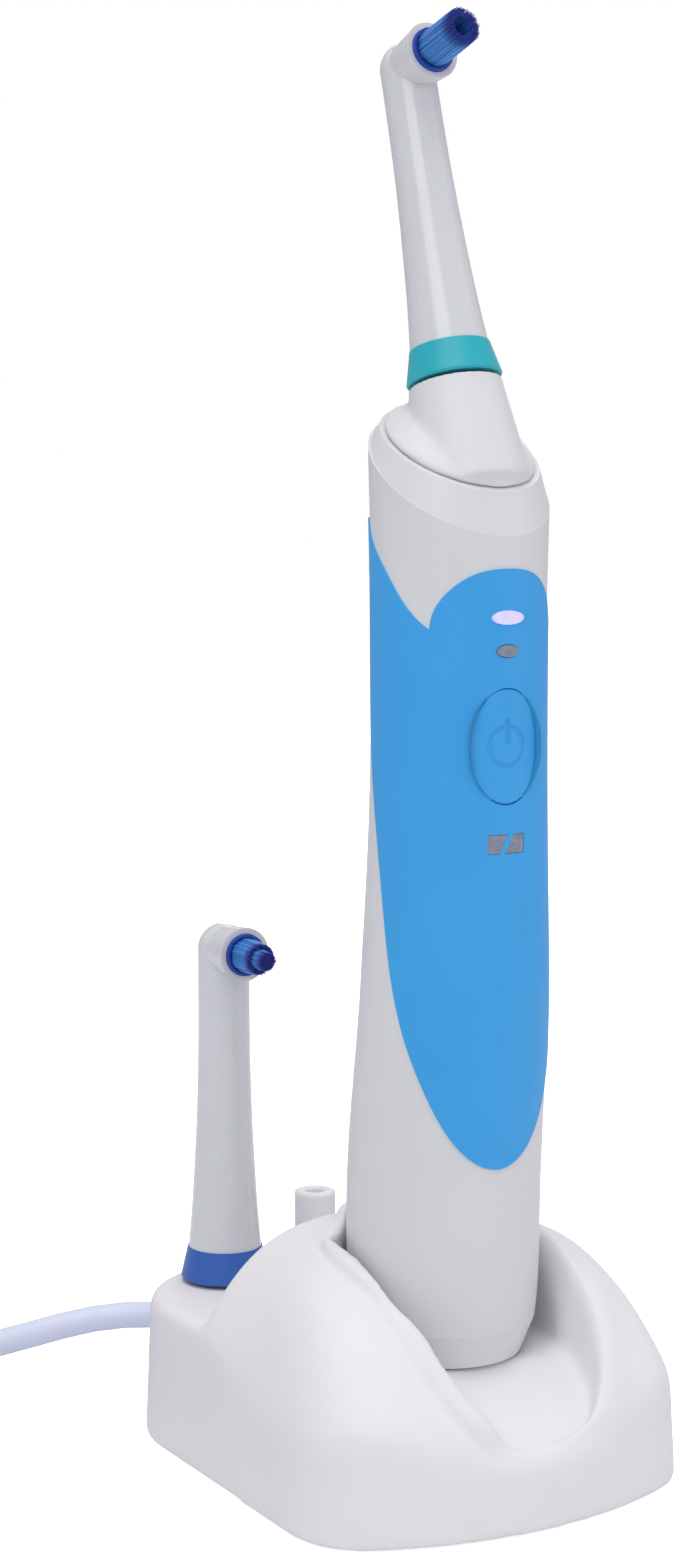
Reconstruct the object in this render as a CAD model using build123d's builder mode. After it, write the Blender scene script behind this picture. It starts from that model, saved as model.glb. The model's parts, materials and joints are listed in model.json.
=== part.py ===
from build123d import *
import math
import os

os.makedirs("parts", exist_ok=True)

# ---------------------------------------------------------------- driving dimensions, mm
# Row frame: origin at the middle of the stand's underside, -Y is the button side, +Z is up.
HANDLE_Y = -15.0            # Y of the handle's axis at its foot

# stand
STAND_HALF_W = 39.9
STAND_FRONT = HANDLE_Y - 34.4
STAND_REAR = HANDLE_Y + 64.4
STAND_BOTTOM = 0.5
WALL = 2.4
PLATFORM_Z = 28.5
HUMP_REAR = HANDLE_Y + 25.5
BEAD_RISE = 0.8
BEAD_WIDTH = 3.2
WELL_R = 19.0
WELL_FLOOR = 25.2
SCOOP_R = 13.0
SCOOP_Y = HANDLE_Y - 18.5
SCOOP_TAPER = 12.0
RAMP_TOP_Y = HANDLE_Y - 13.0
RAMP_END_Y = HANDLE_Y - 31.5
RAMP_END_Z = 14.2
COLLAR_TOP = 50.6
PEG_R = 4.1
PEG_HOLE_R = 1.95
PEG_TOP = 44.7
PEGS = [(-19.5, HANDLE_Y + 50.5), (0.0, HANDLE_Y + 48.5), (19.5, HANDLE_Y + 50.5)]
SPIGOT_R = 5.2
SPIGOT_TOP = 39.6
BOSSES = [(-31.0, HANDLE_Y - 12.0), (31.0, HANDLE_Y - 12.0), (-29.0, HANDLE_Y + 44.0), (29.0, HANDLE_Y + 44.0)]
FEET = [(-26.0, HANDLE_Y - 18.0), (26.0, HANDLE_Y - 18.0), (-22.0, HANDLE_Y + 51.0), (22.0, HANDLE_Y + 51.0)]

# handle: (z, section radius, section centre Y)
HANDLE_SECTIONS = [
    (25.6, 14.7, 0.0), (32.0, 17.2, 0.0), (41.0, 17.9, 0.0), (55.0, 18.1, -0.1), (67.0, 18.0, -0.9),
    (82.0, 17.65, -2.5), (100.0, 17.1, -3.7), (119.0, 16.4, -4.3), (138.0, 16.0, -4.6),
    (160.0, 15.9, -4.7), (180.0, 16.2, -4.7), (204.0, 16.4, -4.7),
]
HANDLE_WALL = 2.0
GRIP_DEPTH = 0.9
GRIP_RISE = 0.3
BODY_Y = HANDLE_Y - 4.7     # Y of the upper body's axis
SHOULDER_Z = 188.0
SHOULDER_TILT = 33.3
APRON_Z = 193.6
APRON_TILT = 27.9
APRON_R = 14.0
BAND_R = 14.5
BUTTON_Z = 140.2
BUTTON_A = 7.2
BUTTON_B = 10.1

# neck and brush heads
NECK_TILT = 16.2
NECK_POINT = (0.0, HANDLE_Y - 3.0, 204.5)
RING_H = 6.6
STEM_PROFILE = [(6.75, 12.0), (6.25, 19.0), (5.85, 26.0), (5.4, 36.0), (5.2, 44.0), (5.1, 54.0)]
TUFT_S = 59.7
COLLAR_R = 5.3
COLLAR_END = 8.8
SPARE_TUFT_S = 66.3                  # the spare head is the longer one
SPARE_POINT = (-19.5, HANDLE_Y + 50.5, PLATFORM_Z + 0.45)
HEAD_BORE_R = 4.6
POST_R = 4.54

# drive train
MODULE = 0.4
PINION_TEETH = 10
GEAR_TEETH = 18
GEAR_OFFSET = MODULE * (PINION_TEETH + GEAR_TEETH) / 2
MOTOR_R = 5.9
SPINDLE_R = 1.25

# mains cord, route through the middle of the cord
CORD_R = 2.8
CORD_ROUTE = [(0.0, 29.5, 9.0), (0.0, 91.0, 9.0), (-62.0, 89.0, 2.9), (-91.5, 90.5, 2.9)]
COIL_CENTRE = (-102.0, 59.0)
COIL_MEAN_R = 31.0
COIL_HALF_W = 8.4
TAIL_ROUTE = [(-133.0, 50.0, 2.9), (-133.0, 28.0, 2.9), (-129.0, 8.0, 7.0)]


# ---------------------------------------------------------------- stand surfaces
def blend(table, v):
    """Smooth value at v from a table of (position, value) pairs."""
    if v <= table[0][0]:
        return table[0][1]
    for (a, fa), (b, fb) in zip(table, table[1:]):
        if v <= b:
            return fa + (fb - fa) * (v - a) / (b - a)
    return table[-1][1]


RIDGE = [(-36.0, 9.0), (-33.0, 14.0), (-31.0, 18.0), (-28.0, 22.3), (-25.0, 26.4), (-21.0, 31.2), (-17.0, 35.2),
         (-12.0, 39.2), (-8.0, 41.6), (-4.0, 43.6), (1.0, 45.3), (9.0, 46.5), (18.0, 47.3), (26.0, 47.5)]
FALL = [(-36.0, 8.0), (-25.0, 11.0), (-12.0, 14.5), (0.0, 19.0), (12.0, 19.0), (26.0, 17.0)]
POWER = [(-36.0, 6.0), (-12.0, 8.0), (0.0, 7.0), (12.0, 4.5), (26.0, 3.2)]


def hump_height(x, y):
    v = y - HANDLE_Y
    u = abs(x) / 38.0
    return blend(RIDGE, v) - blend(FALL, v) * u ** blend(POWER, v)


def hump_solid(drop):
    """Everything under the hump's top surface, lowered by drop."""
    rows = []
    for j in range(18):
        y = STAND_FRONT - 3.0 + j * (HUMP_REAR + 9.0 - STAND_FRONT) / 17
        rows.append([(-41.0 + i * 82.0 / 20, y, hump_height(-41.0 + i * 82.0 / 20, y) - drop) for i in range(21)])
    surface = Face.make_surface_from_array_of_points([[Vector(*p) for p in row] for row in rows], tol=0.05)
    with BuildPart() as hump:
        extrude(surface, amount=60, dir=(0, 0, -1))
        with Locations((0, HUMP_REAR - max(drop, 0) - 50, 30)):
            Box(90, 100, 62, mode=Mode.INTERSECT)
    return hump.part


def outline(inset, z, lean):
    """Plan outline of the stand, moved in by inset; lean is the further draw-in at the height z."""
    g = inset + lean * z
    w = STAND_HALF_W - g
    front = STAND_FRONT + g
    rear = STAND_REAR - g
    with BuildSketch(Plane.XY.offset(z)) as plan:
        with BuildLine():
            Line((-w, rear - 25), (-w - 0.5, front + 20.4))
            ThreePointArc((-w - 0.5, front + 20.4), (-w + 1.9, front + 12.4), (-w + 9.0, front + 6.4))
            ThreePointArc((-w + 9.0, front + 6.4), (0, front), (w - 9.0, front + 6.4))
            ThreePointArc((w - 9.0, front + 6.4), (w - 1.9, front + 12.4), (w + 0.5, front + 20.4))
            Line((w + 0.5, front + 20.4), (w, rear - 25))
            ThreePointArc((w, rear - 25), (w - 7.32, rear - 7.32), (w - 25, rear))
            Line((w - 25, rear), (-w + 25, rear))
            ThreePointArc((-w + 25, rear), (-w + 7.32, rear - 7.32), (-w, rear - 25))
        make_face()
    return plan.sketch


def stand_block(inset, low, high):
    """The stand's plan outline as a solid that draws in slightly with height."""
    with BuildPart() as block:
        add(outline(inset, low, 0.03))
        add(outline(inset, high, 0.03))
        loft(ruled=True)
    return block.part


def stand_solid(inset, drop):
    hump = hump_solid(drop)
    low = STAND_BOTTOM if inset == 0 else STAND_BOTTOM - 1
    with BuildPart() as solid:
        add(stand_block(inset, low, 55))
        add(hump, mode=Mode.INTERSECT)
        if inset == 0:
            fillet(solid.edges().filter_by_position(Axis.Y, HUMP_REAR - 0.01, HUMP_REAR + 0.01)
                   .filter_by_position(Axis.Z, 33, 60), 4.0)
    with BuildPart() as rear:
        add(stand_block(inset, low, PLATFORM_Z - drop))
        with Locations((0, HUMP_REAR - 6 + 50, 20)):
            Box(100, 100, 60, mode=Mode.INTERSECT)
        if inset == 0:
            fillet(rear.edges().filter_by_position(Axis.Z, PLATFORM_Z - 0.01, PLATFORM_Z + 0.01)
                   .filter_by_position(Axis.Y, HUMP_REAR + 1, 100), 2.4)
    with BuildPart() as whole:
        add(solid.part)
        add(rear.part)
    return whole.part


def scoop_solid(grow, rise):
    """Space of the scoop in front of the well, grown by grow all round."""
    with BuildPart() as scoop:
        with BuildSketch(Plane.XY.offset(RAMP_END_Z - 1)):
            with Locations((0, SCOOP_Y)):
                Circle(SCOOP_R + grow)
            with Locations((0, SCOOP_Y + 11)):
                Rectangle(2 * (SCOOP_R + grow), 22)
        extrude(amount=45, taper=-SCOOP_TAPER)
        with BuildSketch(Plane.YZ) as below:
            slope = (WELL_FLOOR - RAMP_END_Z) / (RAMP_TOP_Y - RAMP_END_Y)
            with BuildLine():
                Polyline((RAMP_TOP_Y + 40, WELL_FLOOR - rise), (RAMP_TOP_Y, WELL_FLOOR - rise),
                         (RAMP_END_Y - 20, RAMP_END_Z - rise - 20 * slope),
                         (RAMP_END_Y - 20, -40), (RAMP_TOP_Y + 40, -40), close=True)
            make_face()
        extrude(amount=60, both=True, mode=Mode.SUBTRACT)
    return scoop.part


def disc(radius, low, high, x=0.0, y=0.0):
    with BuildPart() as cyl:
        with Locations((x, y, (low + high) / 2)):
            Cylinder(radius, high - low)
    return cyl.part


outer = stand_solid(0, 0)
inner = stand_solid(WALL, WALL)
well = disc(WELL_R, WELL_FLOOR, 70, 0, HANDLE_Y)
well_wall = disc(WELL_R + 2.0, WELL_FLOOR - 2.4, 70, 0, HANDLE_Y)
scoop = scoop_solid(0, 0)
scoop_wall = scoop_solid(2.2, 2.4)

# raised bead round the opening
with BuildPart() as bead:
    add(hump_solid(-BEAD_RISE))
    add(disc(WELL_R + BEAD_WIDTH, 10, 70, 0, HANDLE_Y), mode=Mode.INTERSECT)
    add(stand_block(0, STAND_BOTTOM, 60), mode=Mode.INTERSECT)

# raised back rest behind the handle
with BuildPart() as collar:
    with BuildSketch(Plane.XY.offset(40)):
        with Locations((0, HANDLE_Y)):
            Circle(WELL_R + 2.9)
        with Locations((0, HANDLE_Y + 20)):
            Rectangle(26, 20, mode=Mode.INTERSECT)
    extrude(amount=COLLAR_TOP - 40)

# walls of the well and of the scoop
with BuildPart() as cup:
    add(well_wall)
    add(scoop_wall)
    add(outer, mode=Mode.INTERSECT)

with BuildPart() as posts:
    for bx, by in BOSSES:
        add(disc(3.6, 3.2, 60, bx, by))
    add(outer, mode=Mode.INTERSECT)

with BuildPart() as stand_housing:
    add(outer)
    add(bead.part)
    add(inner, mode=Mode.SUBTRACT)
    add(cup.part)
    add(posts.part)
    add(collar.part)
    for px, py in PEGS:
        add(disc(PEG_R, PLATFORM_Z - 1.5, PEG_TOP, px, py))
    add(well, mode=Mode.SUBTRACT)
    add(scoop, mode=Mode.SUBTRACT)
stand_housing.part.label = "stand_housing"


# ---------------------------------------------------------------- helpers
def block(x0, x1, y0, y1, z0, z1):
    with BuildPart() as box:
        with Locations(((x0 + x1) / 2, (y0 + y1) / 2, (z0 + z1) / 2)):
            Box(x1 - x0, y1 - y0, z1 - z0)
    return box.part


def rod(radius, start, end, place, bore=0.0, dx=0.0, dy=0.0):
    """Cylinder along the Z of the plane place, from start to end, with an optional bore."""
    with BuildPart() as cyl:
        with BuildSketch(place.offset(start)):
            with Locations((dx, dy)):
                Circle(radius)
                if bore:
                    Circle(bore, mode=Mode.SUBTRACT)
        extrude(amount=end - start)
    return cyl.part


def save(build, name):
    build.part.label = name
    export_step(build.part, "parts/" + name + ".step")


def route_radii(points):
    """Bend radii for a rounded route: each uses 0.45 of the shorter run beside the corner."""
    radii = []
    for a, b, c in zip(points, points[1:], points[2:]):
        u = Vector(*b) - Vector(*a)
        w = Vector(*c) - Vector(*b)
        turn = math.radians(u.get_angle(w))
        radii.append(0.45 * min(u.length, w.length) / math.tan(turn / 2))
    return radii


def tube(points, radius):
    radii = route_radii(points)
    print("bend radii", [round(r, 1) for r in radii], "run lengths",
          [round((Vector(*b) - Vector(*a)).length, 1) for a, b in zip(points, points[1:])])
    with BuildPart() as cord:
        with BuildLine() as path:
            FilletPolyline(*points, radius=radii)
        with BuildSketch(Plane(origin=path.line @ 0, z_dir=path.line % 0)):
            Circle(radius)
        sweep()
    length = sum(edge.length for edge in path.edges())
    print("tube volume", round(cord.part.volume), "section x length", round(math.pi * radius ** 2 * length))
    return cord.part


XZ = Plane(origin=(0, HANDLE_Y, 0), x_dir=(1, 0, 0), z_dir=(0, -1, 0))     # front view, +Z of the plane is -Y
YZ = Plane.YZ                                                            # side view, local x is row Y
REAR_OUT = Plane(origin=(0, 0, 9), x_dir=(1, 0, 0), z_dir=(0, 1, 0))       # along the cord's way out

# ---------------------------------------------------------------- stand
with BuildPart() as housing_final:
    add(stand_housing.part)
    add(disc(SPIGOT_R, WELL_FLOOR - 1, SPIGOT_TOP, 0, HANDLE_Y))
    add(disc(3.8, WELL_FLOOR - 4, SPIGOT_TOP - 1.4, 0, HANDLE_Y), mode=Mode.SUBTRACT)
    for px, py in PEGS:
        add(disc(PEG_HOLE_R, PEG_TOP - 12, PEG_TOP + 1, px, py), mode=Mode.SUBTRACT)
    for bx, by in BOSSES:
        add(disc(1.22, 3, 11.5, bx, by), mode=Mode.SUBTRACT)
    add(rod(5.3, STAND_REAR - 6, STAND_REAR + 4, REAR_OUT), mode=Mode.SUBTRACT)
save(housing_final, "stand_housing")

with BuildPart() as base_plate:
    add(stand_block(WALL + 0.25, 0.8, 2.8))
    for bx, by in BOSSES:
        add(disc(3.3, 0, 2.0, bx, by), mode=Mode.SUBTRACT)
        add(disc(1.4, 0, 4, bx, by), mode=Mode.SUBTRACT)
    for sx in (-18, 18):
        for sy in (HANDLE_Y - 6, HANDLE_Y + 36):
            add(disc(2.2, 2.8, 16, sx, sy))
save(base_plate, "stand_base_plate")

for number, (fx, fy) in enumerate(FEET, 1):
    with BuildPart() as foot:
        add(disc(5.0, 0, 0.8, fx, fy))
    save(foot, f"rubber_foot_{number}")

for number, (bx, by) in enumerate(BOSSES, 1):
    with BuildPart() as screw:
        add(disc(2.9, 0.9, 2.0, bx, by))
        add(disc(1.2, 2.0, 10.5, bx, by))
        add(block(bx - 2, bx + 2, by - 0.3, by + 0.3, 0.8, 1.4), mode=Mode.SUBTRACT)
    save(screw, f"base_screw_{number}")

with BuildPart() as board:
    add(block(-22, 22, HANDLE_Y - 10, HANDLE_Y + 40, 16, 17.6))
save(board, "charger_board")

with BuildPart() as core:
    add(disc(2.3, 17.6, 37.9, 0, HANDLE_Y))
    add(disc(6.0, 17.6, 19.6, 0, HANDLE_Y))
save(core, "ferrite_core")

with BuildPart() as coil:
    add(disc(3.65, 21.5, 37.4, 0, HANDLE_Y))
    add(disc(2.33, 20, 39, 0, HANDLE_Y), mode=Mode.SUBTRACT)
save(coil, "primary_coil")

with BuildPart() as capacitor:
    add(disc(4.4, 17.6, 25.4, -13, HANDLE_Y + 33))
    fillet(capacitor.edges().sort_by(Axis.Z)[-1], 0.6)
save(capacitor, "board_capacitor")

with BuildPart() as regulator:
    add(block(7, 17, HANDLE_Y + 28, HANDLE_Y + 37, 17.6, 23))
    chamfer(regulator.faces().sort_by(Axis.Z)[-1].edges(), 0.5)
save(regulator, "board_transformer")

with BuildPart() as grommet:
    with BuildSketch(Plane.YZ):
        with BuildLine():
            Polyline((STAND_REAR - 6.2, 9 + 2.83), (STAND_REAR - 6.2, 9 + 6.1), (STAND_REAR - 2.9, 9 + 6.1),
                     (STAND_REAR - 2.9, 9 + 5.2), (STAND_REAR, 9 + 5.2), (STAND_REAR + 14.8, 9 + 3.7),
                     (STAND_REAR + 14.8, 9 + 2.83), close=True)
        make_face()
    revolve(axis=Axis((0, 0, 9), (0, 1, 0)))
save(grommet, "cord_strain_relief")

with BuildPart() as cord_coil:
    with BuildSketch():
        with Locations(COIL_CENTRE):
            Circle(COIL_MEAN_R + COIL_HALF_W)
            Circle(COIL_MEAN_R - COIL_HALF_W, mode=Mode.SUBTRACT)
    extrude(amount=4 * CORD_R)
    fillet(cord_coil.edges().filter_by(GeomType.CIRCLE), 2.6)
save(cord_coil, "cord_coil")

with BuildPart() as mains_cord:
    add(tube(CORD_ROUTE, CORD_R))
    with Locations((COIL_CENTRE[0], COIL_CENTRE[1], 5)):
        Cylinder(COIL_MEAN_R + COIL_HALF_W + 0.05, 20, mode=Mode.SUBTRACT)
save(mains_cord, "mains_cord")

PLUG_X = TAIL_ROUTE[-1][0]
PLUG_Y = TAIL_ROUTE[-1][1]
with BuildPart() as cord_tail:
    add(tube(TAIL_ROUTE, CORD_R))
    with Locations((COIL_CENTRE[0], COIL_CENTRE[1], 5)):
        Cylinder(COIL_MEAN_R + COIL_HALF_W + 0.05, 20, mode=Mode.SUBTRACT)
    add(block(PLUG_X - 20, PLUG_X + 20, PLUG_Y - 20, PLUG_Y + 2, -10, 30), mode=Mode.SUBTRACT)
save(cord_tail, "cord_tail")

with BuildPart() as plug_body:
    for step, half_w in ((PLUG_Y + 2, 6.0), (PLUG_Y - 9, 12.6), (PLUG_Y - 28, 12.6)):
        with BuildSketch(Plane(origin=(PLUG_X, step, 7.0), x_dir=(1, 0, 0), z_dir=(0, -1, 0))):
            RectangleRounded(2 * half_w, 13.6, 3.5)
    loft(ruled=True)
save(plug_body, "plug_body")

for side, name in ((-1, "plug_pin_left"), (1, "plug_pin_right")):
    with BuildPart() as pin:
        with BuildSketch(Plane(origin=(PLUG_X + side * 9.3, PLUG_Y - 28, 7.0), x_dir=(1, 0, 0), z_dir=(0, -1, 0))):
            Circle(2.0)
        extrude(amount=19)
        fillet(pin.edges().sort_by(Axis.Y)[0], 1.2)
    save(pin, name)


# ---------------------------------------------------------------- handle
def handle_solid(grow):
    """The handle's outer form, grown by grow, running past the shoulder."""
    with BuildPart() as form:
        for z, radius, centre in HANDLE_SECTIONS[1:]:
            with BuildSketch(Plane.XY.offset(z)):
                with Locations((0, HANDLE_Y + centre)):
                    Circle(radius + grow)
        loft()
    return form.part


def tilted(z, tilt):
    """Plane through the upper body's axis at z, higher at the back by tilt degrees."""
    t = math.radians(tilt)
    return Plane(origin=(0, BODY_Y, z), x_dir=(1, 0, 0), z_dir=(0, -math.sin(t), math.cos(t)))


def leaning(point, tilt):
    """Plane at point whose Z leans back by tilt degrees."""
    t = math.radians(tilt)
    return Plane(origin=point, x_dir=(1, 0, 0), z_dir=(0, math.sin(t), math.cos(t)))


NECK = leaning(NECK_POINT, NECK_TILT)
MOTOR = leaning((0, NECK_POINT[1] + GEAR_OFFSET * math.cos(math.radians(NECK_TILT)),
                 NECK_POINT[2] - GEAR_OFFSET * math.sin(math.radians(NECK_TILT))), NECK_TILT)

PANEL = [(-12.6, 154.0), (-12.5, 161.0), (-11.9, 164.6), (-9.9, 168.0), (-6.2, 170.7), (0.0, 171.7)]
WING_REAR = [(4.2, 180.5), (4.3, 172.0), (3.2, 160.0), (0.6, 140.0), (-3.9, 121.0), (-6.5, 108.6), (-9.5, 94.4),
             (-12.0, 85.6), (-14.5, 77.7), (-17.1, 68.8), (-19.2, 62.4), (-20.8, 58.0), (-24.0, 54.0)]
WING_FRONT = [(-14.6, 161.0), (-10.6, 165.0), (-5.4, 171.4), (0.0, 176.4)]

with BuildPart() as wing_region:
    with BuildSketch(YZ):
        with BuildLine():
            Spline(*[(HANDLE_Y + y, z) for y, z in WING_REAR])
            Line((HANDLE_Y + WING_REAR[-1][0], WING_REAR[-1][1]), (HANDLE_Y - 30, 54.0))
            Line((HANDLE_Y - 30, 54.0), (HANDLE_Y - 30, 161.0))
            Line((HANDLE_Y - 30, 161.0), (HANDLE_Y + WING_FRONT[0][0], 161.0))
            Spline(*[(HANDLE_Y + y, z) for y, z in WING_FRONT + [WING_REAR[0]]])
        make_face()
    extrude(amount=30, both=True)

with BuildPart() as panel_region:
    with BuildSketch(XZ):
        with BuildLine():
            Spline(*(PANEL + [(-x, z) for x, z in PANEL[-2::-1]]))
            Line((12.6, 154.0), (-12.6, 154.0))
        make_face()
    extrude(amount=40)

with BuildPart() as grip_region:
    add(wing_region.part)
    add(panel_region.part)

with BuildPart() as foot_form:
    for z, radius, centre in HANDLE_SECTIONS[:2]:
        with BuildSketch(Plane.XY.offset(z)):
            with Locations((0, HANDLE_Y + centre)):
                Circle(radius)
    loft()

body_form = handle_solid(0)
core_form = handle_solid(-HANDLE_WALL)
bed_form = handle_solid(-GRIP_DEPTH)
grip_form = handle_solid(GRIP_RISE)

with BuildPart() as grip_slab:
    add(grip_form)
    add(bed_form, mode=Mode.SUBTRACT)
    add(grip_region.part, mode=Mode.INTERSECT)


# holes in the front for the windows and the button
def front_ellipse(a, b, z, deep, out):
    with BuildPart() as plug:
        with BuildSketch(XZ.offset(deep)):
            with Locations((0, z)):
                Ellipse(a, b)
        extrude(amount=out - deep)
    return plug.part


def battery_pane(side, gap, deep, out, grow):
    """One half of the battery-shaped window, cut off along a slanting bar."""
    with BuildPart() as pane:
        with BuildSketch(XZ.offset(deep)):
            with Locations((0, 122.8)):
                Rectangle(7.6 + 2 * grow, 3.4 + 2 * grow)
            with BuildLine():
                Polyline((side * gap - 1.5, 120.0), (side * gap + 1.5, 125.6), (-side * 20, 125.6), (-side * 20, 120.0),
                         close=True)
            make_face(mode=Mode.SUBTRACT)
        extrude(amount=out - deep)
    return pane.part


front_holes = [
    front_ellipse(3.3, 1.35, 163.1, 14, 30),
    front_ellipse(2.3, 1.2, 157.2, 14, 30),
    front_ellipse(BUTTON_A + 0.35, BUTTON_B + 0.35, BUTTON_Z, 12, 30),
    battery_pane(-1, 0.55, 14, 30, 0.05),
    battery_pane(1, 0.55, 14, 30, 0.05),
]

with BuildPart() as hollow:
    add(core_form)
    split(bisect_by=tilted(SHOULDER_Z - 2.6, SHOULDER_TILT), keep=Keep.BOTTOM)
    add(disc(12.4, 150, 215, 0, BODY_Y))

with BuildPart() as handle_housing:
    add(body_form)
    split(bisect_by=tilted(SHOULDER_Z, SHOULDER_TILT), keep=Keep.BOTTOM)
    add(foot_form.part)
    with BuildSketch(tilted(SHOULDER_Z, SHOULDER_TILT)):
        Ellipse(16.15, 16.15 / math.cos(math.radians(SHOULDER_TILT)))
    with BuildSketch(tilted(APRON_Z - 0.7, APRON_TILT)):
        Ellipse(BAND_R, BAND_R / math.cos(math.radians(APRON_TILT)))
    loft(ruled=True)
    add(hollow.part, mode=Mode.SUBTRACT)
    add(disc(12.7, 20, 33, 0, HANDLE_Y), mode=Mode.SUBTRACT)
    add(grip_slab.part, mode=Mode.SUBTRACT)
    for hole in front_holes:
        add(hole, mode=Mode.SUBTRACT)
save(handle_housing, "handle_housing")

with BuildPart() as grip_cover:
    add(grip_slab.part)
    for hole in front_holes:
        add(hole, mode=Mode.SUBTRACT)
save(grip_cover, "grip_cover")

with BuildPart() as upper_window:
    add(front_ellipse(3.2, 1.25, 163.1, 17.9, 21.1))
save(upper_window, "led_window_upper")

with BuildPart() as lower_window:
    add(front_ellipse(2.2, 1.1, 157.2, 17.9, 21.0))
save(lower_window, "led_window_lower")

for side, name in ((-1, "battery_window_left"), (1, "battery_window_right")):
    with BuildPart() as pane:
        add(battery_pane(side, 0.55, 17.5, 26, -0.02))
        add(handle_solid(GRIP_RISE - 0.1), mode=Mode.INTERSECT)
    save(pane, name)

with BuildPart() as power_button:
    add(front_ellipse(BUTTON_A, BUTTON_B, BUTTON_Z, 17.9, 30))
    add(handle_solid(GRIP_RISE + 0.1), mode=Mode.INTERSECT)
    add(rod(1.8, 17.45, 18.2, XZ, 0, 0, BUTTON_Z))
save(power_button, "power_button")

with BuildPart() as control_board:
    add(block(-7, 7, HANDLE_Y - 16.2, HANDLE_Y - 15.2, 112, 165.2))
save(control_board, "control_board")

with BuildPart() as tact_switch:
    add(block(-3, 3, HANDLE_Y - 16.55, HANDLE_Y - 16.2, BUTTON_Z - 3, BUTTON_Z + 3))
    add(rod(1.5, 16.4, 16.6, XZ, 0, 0, BUTTON_Z))
save(tact_switch, "tact_switch")

for z, name in ((163.1, "led_upper"), (157.2, "led_lower")):
    with BuildPart() as led:
        add(block(-1.6, 1.6, HANDLE_Y - 17.3, HANDLE_Y - 16.2, z - 0.8, z + 0.8))
    save(led, name)

CELL_Y = HANDLE_Y - 1.8
with BuildPart() as battery:
    add(disc(7.1, 53.6, 102.4, 0, CELL_Y))
    add(disc(2.7, 102.4, 103.6, 0, CELL_Y))
save(battery, "battery")

with BuildPart() as chassis:
    add(disc(9.0, 50, 109, 0, CELL_Y))
    add(disc(7.2, 52, 107, 0, CELL_Y), mode=Mode.SUBTRACT)
    add(block(-12, 12, CELL_Y - 20, CELL_Y - 1.5, 45, 115), mode=Mode.SUBTRACT)
    add(block(-5, 5, CELL_Y + 7.4, CELL_Y + 8.6, 109, 150))
save(chassis, "battery_chassis")

with BuildPart() as lower_contact:
    add(disc(5.0, 52.4, 53.6, 0, CELL_Y))
save(lower_contact, "battery_contact_lower")

with BuildPart() as upper_contact:
    add(disc(3.5, 103.6, 104.8, 0, CELL_Y))
save(upper_contact, "battery_contact_upper")

with BuildPart() as bottom_cap:
    add(disc(12.6, 25.6, 29.6, 0, HANDLE_Y))
    add(disc(7.0, 29.6, 42.6, 0, HANDLE_Y))
    add(disc(5.7, 25, 41.1, 0, HANDLE_Y), mode=Mode.SUBTRACT)
    with BuildSketch(Plane.XY.offset(27.2)):
        with Locations((0, HANDLE_Y)):
            Circle(13.5)
            Circle(11.5, mode=Mode.SUBTRACT)
    extrude(amount=1.2, mode=Mode.SUBTRACT)
save(bottom_cap, "bottom_cap")

with BuildPart() as cap_seal:
    with BuildSketch(Plane.XY.offset(27.25)):
        with Locations((0, HANDLE_Y)):
            Circle(12.68)
            Circle(11.52, mode=Mode.SUBTRACT)
    extrude(amount=1.1)
save(cap_seal, "cap_seal")

with BuildPart() as bobbin:
    with BuildSketch(Plane.XY.offset(30)):
        with Locations((0, HANDLE_Y)):
            Circle(11.0)
            Circle(7.05, mode=Mode.SUBTRACT)
    extrude(amount=10)
    with BuildSketch(Plane.XY.offset(31)):
        with Locations((0, HANDLE_Y)):
            Circle(12.0)
            Circle(7.6, mode=Mode.SUBTRACT)
    extrude(amount=8, mode=Mode.SUBTRACT)
save(bobbin, "coil_bobbin")

with BuildPart() as receiving_coil:
    with BuildSketch(Plane.XY.offset(31.05)):
        with Locations((0, HANDLE_Y)):
            Circle(10.6)
            Circle(7.65, mode=Mode.SUBTRACT)
    extrude(amount=7.9)
save(receiving_coil, "receiving_coil")

with BuildPart() as nose_cone:
    with BuildSketch(tilted(APRON_Z, APRON_TILT)):
        Ellipse(APRON_R, APRON_R / math.cos(math.radians(APRON_TILT)))
    with BuildSketch(tilted(APRON_Z, APRON_TILT).offset(3.4)):
        with Locations((0, 0.5)):
            Ellipse(10.2, 11.6)
    loft(ruled=True)
    with BuildSketch(NECK.offset(-0.3)):
        Circle(8.45)
    with BuildSketch(NECK.offset(-20)):
        Circle(11.2)
    loft(ruled=True)
    split(bisect_by=tilted(APRON_Z, APRON_TILT), keep=Keep.TOP)
    split(bisect_by=NECK.offset(-0.3), keep=Keep.BOTTOM)
    with BuildSketch(tilted(APRON_Z - 0.65, APRON_TILT)):
        Ellipse(APRON_R - 0.3, (APRON_R - 0.3) / math.cos(math.radians(APRON_TILT)))
    extrude(amount=0.65)
    with BuildSketch(tilted(APRON_Z - 4.5, APRON_TILT)):
        Circle(11.9)
    extrude(amount=4.6)
    add(rod(8.0, -30, -4.5, NECK), mode=Mode.SUBTRACT)
    add(rod(4.0, -10, -4, NECK))
    add(rod(POST_R, -4.6, 16, NECK))
    add(rod(2.6, -11, -1.9, NECK), mode=Mode.SUBTRACT)
    add(rod(SPINDLE_R + 0.06, -3, 17, NECK), mode=Mode.SUBTRACT)
save(nose_cone, "nose_cone")

with BuildPart() as bushing:
    add(rod(2.58, -9.9, -4.3, NECK, SPINDLE_R + 0.05))
save(bushing, "spindle_bushing")

with BuildPart() as seal:
    add(rod(2.55, -4.1, -2.1, NECK, SPINDLE_R + 0.04))
save(seal, "shaft_seal")

with BuildPart() as motor_can:
    add(rod(MOTOR_R, -40, -26, MOTOR, 0.81))
save(motor_can, "motor_can")

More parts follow.
